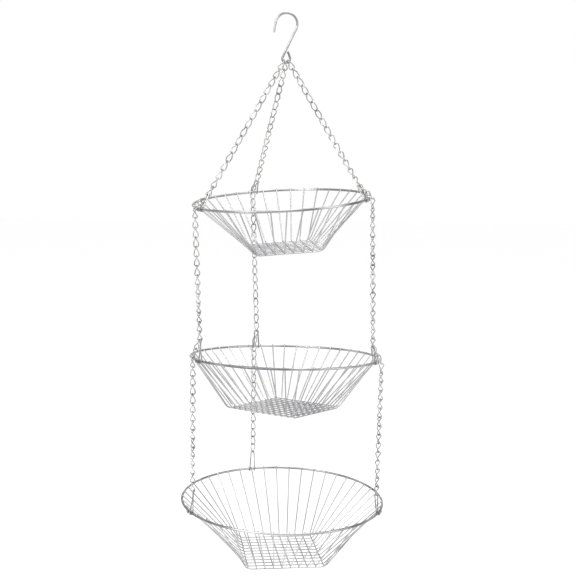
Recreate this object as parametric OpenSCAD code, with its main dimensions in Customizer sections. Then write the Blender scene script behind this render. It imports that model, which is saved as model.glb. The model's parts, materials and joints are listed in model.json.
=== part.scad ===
// Three-tier hanging wire basket for fruit and vegetables.
// A ceiling hook carries three chains; every basket hangs on them by three wire clips.
// The origin is the underside of the hook's crown, where the hook bears on its support.
// +Z is up, +X is to the right and +Y points away from the front.

/* [Ceiling hook] */
// Diameter of the hook's wire
hook_wire = 3.2; // [2.5:0.1:4]
// Radius of the open hook, to the middle of the wire
hook_radius = 14.9; // [12:0.1:20]
// Length of the straight tip below the open hook
hook_tip = 14; // [6:1:20]
// How far the tip flares outwards, in degrees
hook_flare = 11; // [0:1:20]
// Slope of the shank from the vertical, in degrees
shank_slope = 26; // [20:1:30]
// Radius of the eye that holds the chains, to the middle of the wire
eye_radius = 5.4; // [5.2:0.1:6]

/* [Chain] */
// Diameter of the chain's wire
chain_wire = 1.6; // [1.2:0.1:1.8]
// Outside width of a link
link_width = 8.6; // [8:0.1:10]
// Distance from one link to the next
link_pitch = 13.25; // [12.5:0.05:14]
// Free space where two links meet
link_gap = 0.15; // [0.1:0.05:0.3]
// Links in each chain run that swings
run_links = 12; // [10:1:12]
// How each run's end links stand, in degrees from the outward direction: left, right, back
run_turn = [55, 55, 25]; // [15:5:60]
// How far the links of a run turn to and fro from that, in degrees
link_turn = 25; // [0:5:30]
// How far the links of each upper chain turn on between its ends: left, right, back
upper_turn = [45, 0, 30]; // [0:5:45]

/* [Baskets: top, middle, bottom] */
// Diameter of each rim hoop, to the middle of its wire
rim_d = [252, 277, 303]; // [240:1:310]
// Depth of each basket, from the rim to the base wires
depth = [68, 75, 84]; // [60:1:90]
// Diameter of the rim's wire
rim_wire = 3.5; // [3:0.1:4]
// Diameter of the ribs
rib_wire = 1.9; // [1.6:0.1:2.2]
// Number of wires that run from front to back
long_count = [8, 10, 10]; // [6:1:12]
// Number of wires that run from side to side
cross_count = [10, 12, 12]; // [6:1:14]
// Width of the flat base, across the lengthwise wires
base_w = [91, 113, 112]; // [80:1:120]
// Length of the flat base, across the crosswise wires
base_l = [101, 117, 123]; // [80:1:130]
// Radius of the bend between base and side
rib_bend = 12; // [8:1:15]
// How far each basket's grid is turned about the vertical, in degrees
grid_turn = [9, 53.5, 8.2]; // [0:0.1:90]

/* [How the baskets hang] */
// Centre of each rim, sideways
rim_x = [-5, 2, 0]; // [-10:0.5:10]
// Centre of each rim, front to back
rim_y = [0, 2, 3]; // [-10:0.5:10]
// Height of each rim's centre
rim_z = [-255.5, -487, -709]; // [-720:0.5:-240]
// Tilt of each rim about the sideways axis, in degrees
tilt_x = [1.4, -8, -4.6]; // [-9:0.1:9]
// Tilt of each rim about the front-to-back axis, in degrees
tilt_y = [-3.3, 0.6, 1.1]; // [-9:0.1:9]
// Where the three chains meet the rims: left, right and back, in degrees from +X
chain_angle = [209, 340, 110]; // [0:1:360]
// Distance of a chain run outside the rim's wire
rim_offset = 8.5; // [7.5:0.1:10]
// Links between the top rim and the swinging run: left, right, back
top_tail = [1, 1, 1]; // [1:1:2]
// Links between the swinging run and the middle junction: left, right, back
middle_lead = [0, 2, 3]; // [0:1:3]
// Links between the middle rim and the swinging run: left, right, back
middle_tail = [1, 1, 1]; // [1:1:2]
// Links between the swinging run and the bottom junction: left, right, back
bottom_lead = [1, 1, 0]; // [0:1:2]

/* [Rim clips] */
// Diameter of the clip's wire
clip_wire = 1.9; // [1.6:0.1:2]
// Length of a clip on the top basket, from the rim to the chain
clip_length = 21.5; // [20:0.5:24]
// Distance between a clip's two legs at the rim
clip_spread = 8.6; // [7:0.1:10]
// Width of the clip's bend at the chain
clip_crown = 4.8; // [4.5:0.1:5.5]

/* [Hidden] */
$fn = 40;
LEFT = 0;
RIGHT = 1;
BACK = 2;
TOP = 0;
MIDDLE = 1;
BOTTOM = 2;
UP = [0, 0, 1];

// ---- directions and frames ----
function unit(v) = v / norm(v);
// The part of v square to the unit vector axis
function square_to(v, axis) = unit(v - (v * axis) * axis);
// A matrix that takes the origin to p, Z to z and X as near as it can to x
function frame(p, z, x) =
    let (zz = unit(z), xx = square_to(x, zz), yy = cross(zz, xx))
    [[xx[0], yy[0], zz[0], p[0]], [xx[1], yy[1], zz[1], p[1]], [xx[2], yy[2], zz[2], p[2]], [0, 0, 0, 1]];
// Some direction that isn't along v
function aside(v) = abs(v[0]) < 0.8 * norm(v) ? [1, 0, 0] : [0, 1, 0];

// ---- bent wire: straight rods with a round bead where they meet ----
// Beads stand this much proud of the wire that they join
bead = 1.05;
// How far a rod stops short of a bead's middle, as a share of its radius
rod_end = 0.28;
function dir(points, i) = unit(points[i + 1] - points[i]);
function bend_angle(points, i) = acos(min(1, dir(points, i - 1) * dir(points, i)));
// How much a bend takes from the straight wire on each side of its corner
function setback(points, i, bend) = bend * tan(bend_angle(points, i) / 2);
// The corner at points[i] rounded off by straight steps that touch the bend's arc and
// turn up to step degrees each
function round_corner(points, i, bend, step) =
    let (
        d1 = dir(points, i - 1),
        d2 = dir(points, i),
        angle = bend_angle(points, i),
        n = ceil(angle / step),
        centre = points[i] + unit(d2 - d1) * bend / cos(angle / 2),
        x = unit(points[i] - d1 * setback(points, i, bend) - centre),
        r = bend / cos(angle / n / 2)
    ) [for (k = [0.5 : n - 0.5]) centre + r * (x * cos(angle * k / n) + d1 * sin(angle * k / n))];
function rounded(points, bend, step) = concat(
    [points[0]],
    [for (i = [1 : len(points) - 2]) each round_corner(points, i, bend, step)],
    [points[len(points) - 1]]);

module rod(a, b, r) {
    multmatrix(frame(a, b - a, aside(b - a)))
        cylinder(h = norm(b - a), r = r);
}

// A straight length of wire up Z, cut short at each end that has a bead
module length_of_wire(h, r, from_bead, to_bead) {
    low = from_bead ? rod_end * r : 0;
    high = to_bead ? rod_end * r : 0;
    translate([0, 0, low])
        cylinder(h = h - low - high, r = r);
    if (from_bead)
        sphere(r = r * bead);
}

// Three axes as rows: Z along d and X as near as it can be to x
function axes(d, x) = let (f = frame([0, 0, 0], d, x)) [for (c = [0 : 2]) [for (r = [0 : 2]) f[r][c]]];
// The turn from the axes a to the axes b, as a matrix in the axes a
function turn(a, b) = [for (r = a) [for (c = b) r * c, 0]];

// The wire from path[i] on, drawn up Z: each step stands on the end of the one before it.
// With ends, it has a bead at its first and last point too
module steps(path, i, r, ends) {
    h = norm(path[i + 1] - path[i]);
    more = i < len(path) - 2;
    length_of_wire(h, r, ends || i > 0, ends || more);
    translate([0, 0, h]) {
        if (more)
            multmatrix(turn(wire_axes(path, i), wire_axes(path, i + 1)))
                steps(path, i + 1, r, ends);
        if (ends && !more)
            sphere(r = r * bead);
    }
}
function wire_axes(path, i) = axes(dir(path, i), aside(dir(path, i)));

module wire(path, r, ends) {
    multmatrix(frame(path[0], dir(path, 0), aside(dir(path, 0))))
        steps(path, 0, r, ends);
}

module bent_wire(points, bend, step, d) {
    wire(rounded(points, bend, step), d / 2, false);
}

// ---- where things hang ----
// The eye's middle is straight below the crown, so the shank's slope sets its length
shank_length = (hook_radius + eye_radius) / tan(shank_slope);
crown_z = hook_wire / 2 - hook_radius;
eye_z = crown_z - (hook_radius + eye_radius) * sin(shank_slope) - shank_length * cos(shank_slope);
// Free space between the eye's wire and the first links
eye_gap = 0.3;
// How far apart the three first links sit on the eye, in degrees of its arc
eye_step = 40;
// Which way each first link sits from the eye's lowest point
eye_side = [-1, 1, 0];
// Half the distance between the middles of two chain wires that hang in each other
meet = (chain_wire + link_gap) / 2;
// Straight steps in each side of a link
side_steps = 2;
// Radius of a link's round ends, to the middle of the wire
end_r = (link_width - chain_wire) / 2;
// A clip and a link hang side by side in a junction link, this far each side of its middle
share = 1.2;
// How high a wire of diameter d lies there above the junction link's lowest point
function hang_height(d) = end_r - sqrt(pow(end_r - (chain_wire + d) / 2 - link_gap, 2) - share * share);
// Turn of a junction link about the chain, in degrees
junction_turn = 45;
// Turn of the link that bends over the rim
over_turn = 18;

function outward(i) = [cos(chain_angle[i]), sin(chain_angle[i]), 0];
function rot_x(v, a) = [v[0], v[1] * cos(a) - v[2] * sin(a), v[1] * sin(a) + v[2] * cos(a)];
function rot_y(v, a) = [v[0] * cos(a) + v[2] * sin(a), v[1], v[2] * cos(a) - v[0] * sin(a)];
// A direction of basket b, from the basket's own level frame
function tilted(b, v) = rot_x(rot_y(v, tilt_y[b]), tilt_x[b]);
function rim_centre(b) = [rim_x[b], rim_y[b], rim_z[b]];
function in_basket(b, v) = rim_centre(b) + tilted(b, v);
// A point of basket b, at a radius and height from the rim's middle
function on_rim(b, angle, r, z) = in_basket(b, [r * cos(angle), r * sin(angle), z]);
function rim_at(b, i) = on_rim(b, chain_angle[i], rim_d[b] / 2, 0);

// The middle of the eye's wire where the first link of chain i hangs
function eye_at(i) = [eye_radius * sin(eye_step * eye_side[i]), 0,
    eye_z - eye_radius * cos(eye_step * eye_side[i])];
// The line of upper chain i, from the eye to the rim
function upper_dir(i) = unit(rim_at(0, i) - eye_at(i));
function upper_start(i) =
    eye_at(i) - upper_dir(i) * ((hook_wire + chain_wire) / 2 + eye_gap - meet);
function upper_length(i) = norm(rim_at(0, i) - upper_start(i)) - clip_length;
function upper_count(i) = round(upper_length(i) / link_pitch);
function upper_pitch(i) = upper_length(i) / upper_count(i);

// All three runs below basket b hang the same way
function run_dir(b) = unit(rim_centre(b + 1) - rim_centre(b));
function tail(b, i) = b == 0 ? top_tail[i] : middle_tail[i];
function lead(b, i) = b == 1 ? middle_lead[i] : bottom_lead[i];
// Where the junction link meets the clip of basket b
function junction(b, i) = b == 0
    ? rim_at(0, i) - upper_dir(i) * clip_length
    : run_start(b - 1, i) + run_dir(b - 1) * link_pitch * (run_links + lead(b, i) + 1);
function junction_dir(b, i) = b == 0 ? upper_dir(i) : run_dir(b - 1);
// The outward direction at chain i, square to the chain's line u and turned about it
function turned(i, u, angle) =
    let (o = square_to(outward(i), u)) o * cos(angle) + cross(-u, o) * sin(angle);
// The lower end of a junction link lies along this direction, outer side first
function junction_bar(b, i) = -turned(i, junction_dir(b, i), junction_turn + 90);
// Two links lead from the junction over the rim's wire
function over_start(b, i) = junction(b, i) + junction_bar(b, i) * share
    - junction_dir(b, i) * (hang_height(chain_wire) - 2 * meet);
function over_end(b, i) =
    let (
        start = over_start(b, i),
        end = rim_at(b, i) + outward(i) * rim_offset,
        side = norm([end[0] - start[0], end[1] - start[1]])
    ) [end[0], end[1], start[2] - sqrt(pow(2 * link_pitch, 2) - side * side)];
function over_dir(b, i) = unit(over_end(b, i) - over_start(b, i));
// A little more free space where the chain bends
corner_slack = 0.15;
// How far a link that hangs along v is shifted, so that it keeps its gap to one along u
function corner_gap(u, v) = meet * (u + v) - (2 * meet + corner_slack) * unit(u + v);
// Where the links below the rim start
function below_start(b, i) = over_end(b, i) + corner_gap(over_dir(b, i), run_dir(b));
// Where the swinging part of a run starts
function run_start(b, i) = below_start(b, i) + run_dir(b) * link_pitch * tail(b, i);

// ---- chain ----
// One link: two round ends at a quarter turn to each other, joined by two sides that wind
// round the link from one end to the other
module link(pitch) {
    r = chain_wire / 2;
    half = pitch / 2 + meet - end_r;
    for (end = [0, 1])
        rotate([180 * end, 0, 90 * end])
            translate([0, 0, half])
                rotate([90, 0, 0])
                    rotate_extrude(angle = 180)
                        translate([end_r, 0])
                            circle(r = r);
    for (side = [0, 180])
        wire([for (k = [0 : side_steps]) let (a = side + 90 * k / side_steps)
            [end_r * cos(a), end_r * sin(a), half - 2 * half * k / side_steps]], r, true);
}

// A straight row of links from start along u; turns holds each link's turn about the chain
module links(i, start, u, pitch, turns) {
    color("silver")
        for (k = [0 : 1 : len(turns) - 1])
            multmatrix(frame(start + u * pitch * (k + 0.5), -u, turned(i, u, turns[k])))
                link(pitch);
}

// An upper chain, from the eye to the clip. Its links turn slowly from the eye to the
// clip, and by upper_turn more between the first few links and the last few
module upper_chain(i) {
    n = upper_count(i);
    first = 90 - chain_angle[i] + (i == BACK ? 0 : 180);
    few = 4;
    turns = [for (k = [0 : n - 1]) first + (junction_turn - first) * k / (n - 1)
        + upper_turn[i] * min(1, k / few, (n - 1 - k) / few)];
    links(i, upper_start(i), upper_dir(i), upper_pitch(i), turns);
}

// Links that lead over the rim of basket b and hang straight below it
module tail_links(b, i) {
    n = tail(b, i);
    links(i, over_start(b, i), over_dir(b, i), link_pitch, [junction_turn, over_turn]);
    links(i, below_start(b, i), run_dir(b), link_pitch,
        [for (k = [1 : n]) over_turn + (run_turn[i] - over_turn) * k / (n + 1)]);
}

// The run of chain that swings below basket b; its links turn to one side and then the other
module run(b, i) {
    turns = [for (k = [1 : run_links]) run_turn[i] + link_turn * sin(360 * k / (run_links + 1))];
    links(i, run_start(b, i), run_dir(b), link_pitch, turns);
}

// Links that hang straight above the clip of basket b; the last one is the junction link
module lead_links(b, i) {
    u = run_dir(b - 1);
    start = run_start(b - 1, i) + u * link_pitch * run_links;
    n = lead(b, i) + 1;
    links(i, start, u, link_pitch,
        [for (k = [1 : n]) run_turn[i] + (junction_turn - run_turn[i]) * k / n]);
}

// ---- ceiling hook ----
// An arc of wire in the hook's plane, from one angle to another, about [0, z]
module hook_arc(z, radius, from, to) {
    translate([0, 0, z])
        rotate([90, 0, 0])
            rotate([0, 0, from])
                rotate_extrude(angle = to - from)
                    translate([radius, 0])
                        circle(d = hook_wire);
}

// A point of the hook's plane, from an angle and a radius about [0, z]
function hook_at(z, radius, angle) = [radius * cos(angle), 0, z + radius * sin(angle)];

module ceiling_hook() {
    r = hook_wire / 2;
    tip = hook_at(crown_z, hook_radius, 180 - hook_flare);
    // The eye's free end leans back until it touches the shank
    eye_end = 20;
    close = eye_end + shank_slope;
    close_length = (eye_radius * (1 + cos(close)) - hook_wire) / sin(close);
    joints = [tip, hook_at(crown_z, hook_radius, -shank_slope),
        hook_at(eye_z, eye_radius, 180 - shank_slope), hook_at(eye_z, eye_radius, eye_end)];
    color("lightgray") {
        hook_arc(crown_z, hook_radius, -shank_slope, 180 - hook_flare);
        hook_arc(eye_z, eye_radius, 180 - shank_slope, 360 + eye_end);
        rod(joints[0], joints[0] - hook_tip * [sin(hook_flare), 0, cos(hook_flare)], r);
        rod(joints[1], joints[2], r);
        rod(joints[3], joints[3] + close_length * [-sin(eye_end), 0, cos(eye_end)], r);
        for (p = joints)
            translate(p)
                sphere(r = r * bead);
    }
}

// ---- baskets ----
module rim(b) {
    color("silver")
        multmatrix(frame(rim_centre(b), tilted(b, UP), tilted(b, [1, 0, 0])))
            rotate_extrude($fn = 120)
                translate([rim_d[b] / 2, 0])
                    circle(d = rim_wire, $fn = 40);
}

// A rib ends against the inside of the rim and stands a little proud of it
rib_end_in = 0.8;
rib_end_up = 2.4;
// A rib's bend is made of straight steps that turn up to this many degrees
rib_step_turn = 15;
function rib_end(b, angle) = on_rim(b, angle, rim_d[b] / 2 - rib_end_in, rib_end_up);
// Sink of one welded wire into the other
weld = 0.3;
function rib_step(b) = 180 / (long_count[b] + cross_count[b]);

module long_wires(b) {
    n = long_count[b];
    color("gainsboro")
        for (k = [0 : n - 1]) {
            fan = (k - (n - 1) / 2);
            x = base_w[b] * fan / (n - 1);
            y = base_l[b] / 2 + rib_wire;
            t = grid_turn[b];
            base = [for (s = [-1, 1]) in_basket(b, [
                x * cos(t) - s * y * sin(t), x * sin(t) + s * y * cos(t), -depth[b]])];
            bent_wire([rib_end(b, t - 90 + fan * rib_step(b)), base[0], base[1],
                rib_end(b, t + 90 - fan * rib_step(b))], rib_bend, rib_step_turn, rib_wire);
        }
}

module cross_wires(b) {
    n = cross_count[b];
    color("gainsboro")
        for (k = [0 : n - 1]) {
            fan = (k - (n - 1) / 2);
            x = base_w[b] / 2 + rib_wire;
            y = base_l[b] * fan / (n - 1);
            t = grid_turn[b];
            base = [for (s = [-1, 1]) in_basket(b, [
                s * x * cos(t) - y * sin(t), s * x * sin(t) + y * cos(t), -depth[b] - rib_wire + weld])];
            bent_wire([rib_end(b, t + 180 - fan * rib_step(b)), base[0], base[1],
                rib_end(b, t + fan * rib_step(b))], rib_bend, rib_step_turn, rib_wire);
        }
}

// ---- rim clips ----
// A clip's bends, and how far the straight steps that make them turn, in degrees
clip_bend = 2.2;
clip_step = 30;
// Free space between a clip's feet and the rim's wire
clip_gap = 0.1;
// How far a clip's feet reach up beside the rim, as a share of their distance from its middle
foot_reach = 0.6;
// A hairpin of wire: its bend hangs in the junction link and its two feet hold the rim
module clip(b, i) {
    r = rim_d[b] / 2;
    foot = (rim_wire + clip_wire) / 2 + clip_gap;
    down = junction_dir(b, i);
    bar = junction_bar(b, i);
    crown = junction(b, i) + down * (meet - hang_height(clip_wire)) - bar * share;
    spread = asin(clip_spread / 2 / r);
    // The bend lies across the junction link's bar, its ends in the order of the legs
    across = cross(down, bar);
    along = on_rim(b, chain_angle[i] + spread, r, 0) - on_rim(b, chain_angle[i] - spread, r, 0);
    side = across * along > 0 ? across : -across;
    // The legs pass the rim on the side that the crown leans to
    near = (crown - rim_at(b, i)) * tilted(b, outward(i)) > 0 ? 1 : -1;
    legs = [for (s = [-1, 1]) let (a = chain_angle[i] + s * spread) [
        on_rim(b, a, r - near * foot, foot * foot_reach),
        on_rim(b, a, r - near * foot, -foot),
        on_rim(b, a, r + near * foot, -foot),
        on_rim(b, a, r + near * foot, foot),
        crown + side * s * clip_crown / 2
    ]];
    color("silver")
        bent_wire(concat(legs[0], [for (k = [4 : -1 : 0]) legs[1][k]]), clip_bend, clip_step, clip_wire);
}

ceiling_hook();
upper_chain(LEFT);  // upper_chain_left
upper_chain(RIGHT);  // upper_chain_right
upper_chain(BACK);  // upper_chain_back
rim(TOP);  // top_rim
long_wires(TOP);  // top_long_wires
cross_wires(TOP);  // top_cross_wires
clip(TOP, LEFT);  // top_clip_left
clip(TOP, RIGHT);  // top_clip_right
clip(TOP, BACK);  // top_clip_back
tail_links(TOP, LEFT);  // top_tail_left
tail_links(TOP, RIGHT);  // top_tail_right
tail_links(TOP, BACK);  // top_tail_back
run(TOP, LEFT);  // middle_run_left
run(TOP, RIGHT);  // middle_run_right
run(TOP, BACK);  // middle_run_back
lead_links(MIDDLE, LEFT);  // middle_lead_left
lead_links(MIDDLE, RIGHT);  // middle_lead_right
lead_links(MIDDLE, BACK);  // middle_lead_back
rim(MIDDLE);  // middle_rim
long_wires(MIDDLE);  // middle_long_wires
cross_wires(MIDDLE);  // middle_cross_wires
clip(MIDDLE, LEFT);  // middle_clip_left
clip(MIDDLE, RIGHT);  // middle_clip_right
clip(MIDDLE, BACK);  // middle_clip_back
tail_links(MIDDLE, LEFT);  // middle_tail_left
tail_links(MIDDLE, RIGHT);  // middle_tail_right
tail_links(MIDDLE, BACK);  // middle_tail_back
run(MIDDLE, LEFT);  // bottom_run_left
run(MIDDLE, RIGHT);  // bottom_run_right
run(MIDDLE, BACK);  // bottom_run_back
lead_links(BOTTOM, LEFT);  // bottom_lead_left
lead_links(BOTTOM, RIGHT);  // bottom_lead_right
lead_links(BOTTOM, BACK);  // bottom_lead_back
rim(BOTTOM);  // bottom_rim
long_wires(BOTTOM);  // bottom_long_wires
cross_wires(BOTTOM);  // bottom_cross_wires
clip(BOTTOM, LEFT);  // bottom_clip_left
clip(BOTTOM, RIGHT);  // bottom_clip_right
clip(BOTTOM, BACK);  // bottom_clip_back
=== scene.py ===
"""Looks for the three-tier hanging wire basket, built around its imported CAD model."""

import json
import math

import bmesh
import bpy
import numpy as np
from mathutils import Matrix, Vector


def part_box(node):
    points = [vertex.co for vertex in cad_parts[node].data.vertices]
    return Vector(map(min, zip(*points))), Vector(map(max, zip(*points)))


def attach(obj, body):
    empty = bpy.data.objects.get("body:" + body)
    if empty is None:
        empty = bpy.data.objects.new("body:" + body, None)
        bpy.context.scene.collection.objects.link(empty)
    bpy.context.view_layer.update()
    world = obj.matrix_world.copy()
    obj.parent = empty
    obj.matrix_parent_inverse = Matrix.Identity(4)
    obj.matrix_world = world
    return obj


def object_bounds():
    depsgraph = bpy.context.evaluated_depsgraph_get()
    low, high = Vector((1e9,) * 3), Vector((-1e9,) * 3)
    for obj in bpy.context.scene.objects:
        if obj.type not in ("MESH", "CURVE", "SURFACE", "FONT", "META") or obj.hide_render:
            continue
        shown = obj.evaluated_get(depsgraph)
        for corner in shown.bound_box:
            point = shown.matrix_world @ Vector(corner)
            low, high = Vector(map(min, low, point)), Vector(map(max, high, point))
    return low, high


BASKETS = ("top", "middle", "bottom")
MM = 0.001

# Each wire's plating: dark tone, light tone, lowest and highest roughness, and the noise scale of
# the patches.
PLATING = {
    "hook_wire": ((0.18, 0.18, 0.19), (0.42, 0.42, 0.42), 0.26, 0.36, 45),
    "chain_wire": ((0.20, 0.20, 0.20), (0.50, 0.50, 0.49), 0.26, 0.38, 50),
    "rim_wire": ((0.14, 0.14, 0.15), (0.46, 0.46, 0.46), 0.24, 0.34, 16),
    "rib_wire": ((0.31, 0.31, 0.32), (0.49, 0.49, 0.49), 0.28, 0.38, 14),
    "clip_wire": ((0.18, 0.18, 0.18), (0.50, 0.50, 0.49), 0.26, 0.36, 45),
}
PATCH_DETAIL = 2.0
PATCH_ROUGHNESS = 0.5
TONE_SPREAD = (0.32, 0.68)  # where the noise is all dark and all light
MARK_SCALE = 300
MARK_DETAIL = 3.0
MARK_STRENGTH = 0.05
MARK_HEIGHT = 0.05 * MM

SAME_POINT = 0.001 * MM  # CAD corners closer than this are one point
WIRE_END = 2.2 * MM  # points this near a rib's furthest point make up its end
WELD_RADII = (1.5 * MM, 1.5 * MM, 1.9 * MM)
WELD_DROP = 1.6 * MM  # from a rib's end down to the middle of its weld
WELD_OUT = 0.2 * MM  # from a rib's end out towards the rim
WELD_SEGMENTS, WELD_RINGS = 12, 8
WELD_LUMP = 0.08  # how uneven a weld is, as a share of its size
LUMPS_ACROSS, LUMPS_ALONG = 5, 3
WELD_SEED = 7
SHARP_ANGLE = 60  # degrees

FLOOR_REACH = 12.0  # half a side
FLOOR_DROP = 0.9
FLOOR_GREY = 0.99
FLOOR_ROUGHNESS = 0.9
FLOOR_SPECULAR = 0.1

SKY_STRENGTH = 1.0
LIGHT_AIM = (0, 0, -0.4)
# Each light: place, width and height, and power in watts.
LIGHTS = {
    "key": ((-1.6, -1.6, 1.0), (1.2, 1.2), 40),
    "fill": ((1.8, -1.0, -0.2), (1.0, 1.6), 14),
    "top": ((0.2, 0.4, 1.6), (1.4, 1.4), 30),
}

CAMERA_PLACE = (0.0057, -1.3288, -0.1289)
CAMERA_PITCH = 10.85  # degrees, as are the next two
CAMERA_ROLL = 0.58
CAMERA_HALF_VIEW = 17.19
CAMERA_SENSOR = 36

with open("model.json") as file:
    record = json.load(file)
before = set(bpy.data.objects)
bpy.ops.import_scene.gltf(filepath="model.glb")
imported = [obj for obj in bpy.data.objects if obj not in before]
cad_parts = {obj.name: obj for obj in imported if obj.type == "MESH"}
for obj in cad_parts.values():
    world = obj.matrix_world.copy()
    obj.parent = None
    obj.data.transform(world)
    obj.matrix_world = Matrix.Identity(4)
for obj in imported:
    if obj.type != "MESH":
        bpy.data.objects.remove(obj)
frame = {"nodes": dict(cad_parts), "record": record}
cad_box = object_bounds()


# ---- materials ----


def plated(name, dark, light, rough_low, rough_high, patch_scale):
    """Plated steel: its tone drifts in patches, and fine marks vary its gloss and bump."""
    material = bpy.data.materials.new(name)
    material.use_nodes = True
    nodes, links = material.node_tree.nodes, material.node_tree.links
    shader = nodes["Principled BSDF"]
    shader.inputs["Metallic"].default_value = 1.0
    place = nodes.new("ShaderNodeTexCoord")

    patches = nodes.new("ShaderNodeTexNoise")
    patches.inputs["Scale"].default_value = patch_scale
    patches.inputs["Detail"].default_value = PATCH_DETAIL
    patches.inputs["Roughness"].default_value = PATCH_ROUGHNESS
    links.new(place.outputs["Object"], patches.inputs["Vector"])

    tone = nodes.new("ShaderNodeValToRGB")
    for stop, position, colour in zip(tone.color_ramp.elements, TONE_SPREAD, (dark, light)):
        stop.position = position
        stop.color = (*colour, 1)
    links.new(patches.outputs["Fac"], tone.inputs["Fac"])
    links.new(tone.outputs["Color"], shader.inputs["Base Color"])

    marks = nodes.new("ShaderNodeTexNoise")
    marks.inputs["Scale"].default_value = MARK_SCALE
    marks.inputs["Detail"].default_value = MARK_DETAIL
    links.new(place.outputs["Object"], marks.inputs["Vector"])

    gloss = nodes.new("ShaderNodeMapRange")
    gloss.inputs["To Min"].default_value = rough_low
    gloss.inputs["To Max"].default_value = rough_high
    links.new(marks.outputs["Fac"], gloss.inputs["Value"])
    links.new(gloss.outputs["Result"], shader.inputs["Roughness"])

    bump = nodes.new("ShaderNodeBump")
    bump.inputs["Strength"].default_value = MARK_STRENGTH
    bump.inputs["Distance"].default_value = MARK_HEIGHT
    links.new(marks.outputs["Fac"], bump.inputs["Height"])
    links.new(bump.outputs["Normal"], shader.inputs["Normal"])
    return material


def pale(name, grey):
    """A plain matt surface, for the floor."""
    material = bpy.data.materials.new(name)
    material.use_nodes = True
    shader = material.node_tree.nodes["Principled BSDF"]
    shader.inputs["Roughness"].default_value = FLOOR_ROUGHNESS
    shader.inputs["Specular IOR Level"].default_value = FLOOR_SPECULAR
    shader.inputs["Base Color"].default_value = (grey, grey, grey, 1)
    return material


MATERIALS = {name: plated(name, *look) for name, look in PLATING.items()}


def dress(piece, slot):
    """Gives a piece the material of a slot, and no other."""
    piece.data.materials.clear()
    piece.data.materials.append(MATERIALS[slot])


for part in frame["record"]["subparts"]:
    dress(frame["nodes"][part["node"]], part["material_slot"])


# ---- welds ----


def loose_parts(piece):
    """The corner points of each separate solid in a CAD node, sorted so that each run agrees."""
    mesh = bmesh.new()
    mesh.from_mesh(piece.data)
    bmesh.ops.remove_doubles(mesh, verts=mesh.verts, dist=SAME_POINT)
    seen, parts = set(), []
    for first in mesh.verts:
        if first in seen:
            continue
        seen.add(first)
        waiting, found = [first], []
        while waiting:
            vert = waiting.pop()
            found.append(tuple(vert.co))
            for link in vert.link_edges:
                other = link.other_vert(vert)
                if other not in seen:
                    seen.add(other)
                    waiting.append(other)
        parts.append(np.array(sorted(found)))
    mesh.free()
    return parts


def ends_of(points):
    """The middles of a bent wire's two ends, where its points lie furthest apart.

    The first end found only starts the search: the second lies furthest from it, and so on.
    """
    ends = []
    start = points.mean(0)
    for _ in range(3):
        far = points[np.argmax(np.linalg.norm(points - start, axis=1))]
        start = points[np.linalg.norm(points - far, axis=1) < WIRE_END].mean(0)
        ends.append(Vector(start))
    return ends[1:]


def nugget(mesh, centre, rng):
    """A lump of squeezed metal at a weld, a little uneven."""
    made = bmesh.ops.create_uvsphere(
        mesh, u_segments=WELD_SEGMENTS, v_segments=WELD_RINGS, radius=1.0
    )
    turn = Matrix.Rotation(rng.uniform(0, math.tau), 3, "Z")
    for vert in made["verts"]:
        lump = 1 + WELD_LUMP * math.sin(LUMPS_ACROSS * vert.co.x + LUMPS_ALONG * vert.co.z)
        vert.co = centre + turn @ Vector(c * r * lump for c, r in zip(vert.co, WELD_RADII))


def rim_welds(basket):
    """One lump under each end of each rib, where the rib meets the inside of the rim."""
    rim_low, rim_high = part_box(f"{basket}_rim")
    middle = (rim_low + rim_high) / 2
    rng = np.random.default_rng(WELD_SEED)
    mesh = bmesh.new()
    for kind in ("long", "cross"):
        for points in loose_parts(frame["nodes"][f"{basket}_{kind}_wires"]):
            for end in ends_of(points):
                inward = (middle - end).normalized()
                nugget(mesh, end - Vector((0, 0, WELD_DROP)) - inward * WELD_OUT, rng)
    data = bpy.data.meshes.new(f"{basket}_rim_welds")
    mesh.to_mesh(data)
    mesh.free()
    data.shade_smooth()
    data.set_sharp_from_angle(angle=math.radians(SHARP_ANGLE))
    piece = bpy.data.objects.new(f"{basket}_rim_welds", data)
    bpy.context.scene.collection.objects.link(piece)
    dress(piece, "rib_wire")
    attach(piece, f"{basket}_basket")


for basket in BASKETS:
    rim_welds(basket)


# ---- studio ----


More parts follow.
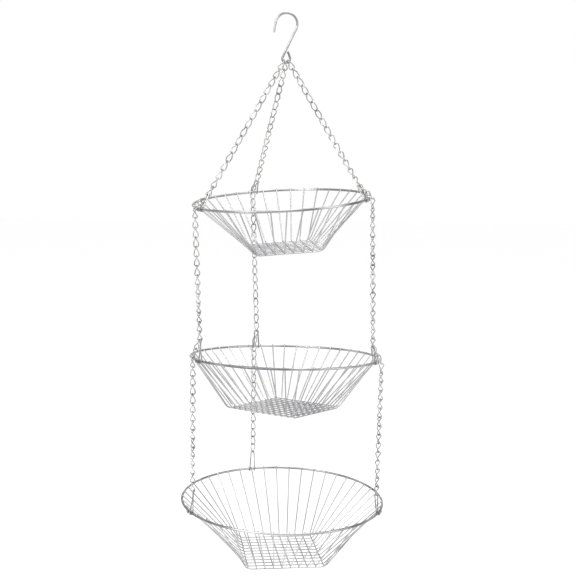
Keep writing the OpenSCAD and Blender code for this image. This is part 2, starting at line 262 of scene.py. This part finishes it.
def floor():
    """A wide pale floor well below the lowest basket."""
    lowest = cad_box[0][2]
    mesh = bmesh.new()
    bmesh.ops.create_grid(mesh, x_segments=2, y_segments=2, size=FLOOR_REACH)
    data = bpy.data.meshes.new("floor")
    mesh.to_mesh(data)
    mesh.free()
    piece = bpy.data.objects.new("floor", data)
    piece.location = (0, 0, lowest - FLOOR_DROP)
    bpy.context.scene.collection.objects.link(piece)
    data.materials.append(pale("floor", FLOOR_GREY))


def area_light(name, place, size, power):
    """A rectangular light that faces the middle of the set."""
    light = bpy.data.lights.new(name, "AREA")
    light.shape = "RECTANGLE"
    light.size, light.size_y = size
    light.energy = power
    lamp = bpy.data.objects.new(name, light)
    lamp.location = place
    lamp.rotation_euler = (Vector(LIGHT_AIM) - Vector(place)).to_track_quat("-Z", "Y").to_euler()
    bpy.context.scene.collection.objects.link(lamp)


def studio():
    """An even white sky and three soft lights."""
    world = bpy.data.worlds.new("studio")
    world.use_nodes = True
    sky = world.node_tree.nodes["Background"]
    sky.inputs["Color"].default_value = (1, 1, 1, 1)
    sky.inputs["Strength"].default_value = SKY_STRENGTH
    bpy.context.scene.world = world
    bpy.context.scene.view_settings.view_transform = "Standard"
    for name, light in LIGHTS.items():
        area_light(name, *light)


def camera():
    """In front of the set, at the height of the upper chains, looking a little down."""
    pitch, roll = math.radians(CAMERA_PITCH), math.radians(CAMERA_ROLL)
    forward = Vector((0, math.cos(pitch), -math.sin(pitch)))
    level, upright = Vector((1, 0, 0)), Vector((0, math.sin(pitch), math.cos(pitch)))
    right = math.cos(roll) * level + math.sin(roll) * upright
    up = math.cos(roll) * upright - math.sin(roll) * level
    data = bpy.data.cameras.new("camera")
    data.sensor_width = CAMERA_SENSOR
    data.lens = data.sensor_width / 2 / math.tan(math.radians(CAMERA_HALF_VIEW))
    view = bpy.data.objects.new("camera", data)
    turn = Matrix((right, up, -forward)).transposed().to_4x4()
    view.matrix_world = Matrix.Translation(CAMERA_PLACE) @ turn
    bpy.context.scene.collection.objects.link(view)
    bpy.context.scene.camera = view


floor()
studio()
camera()
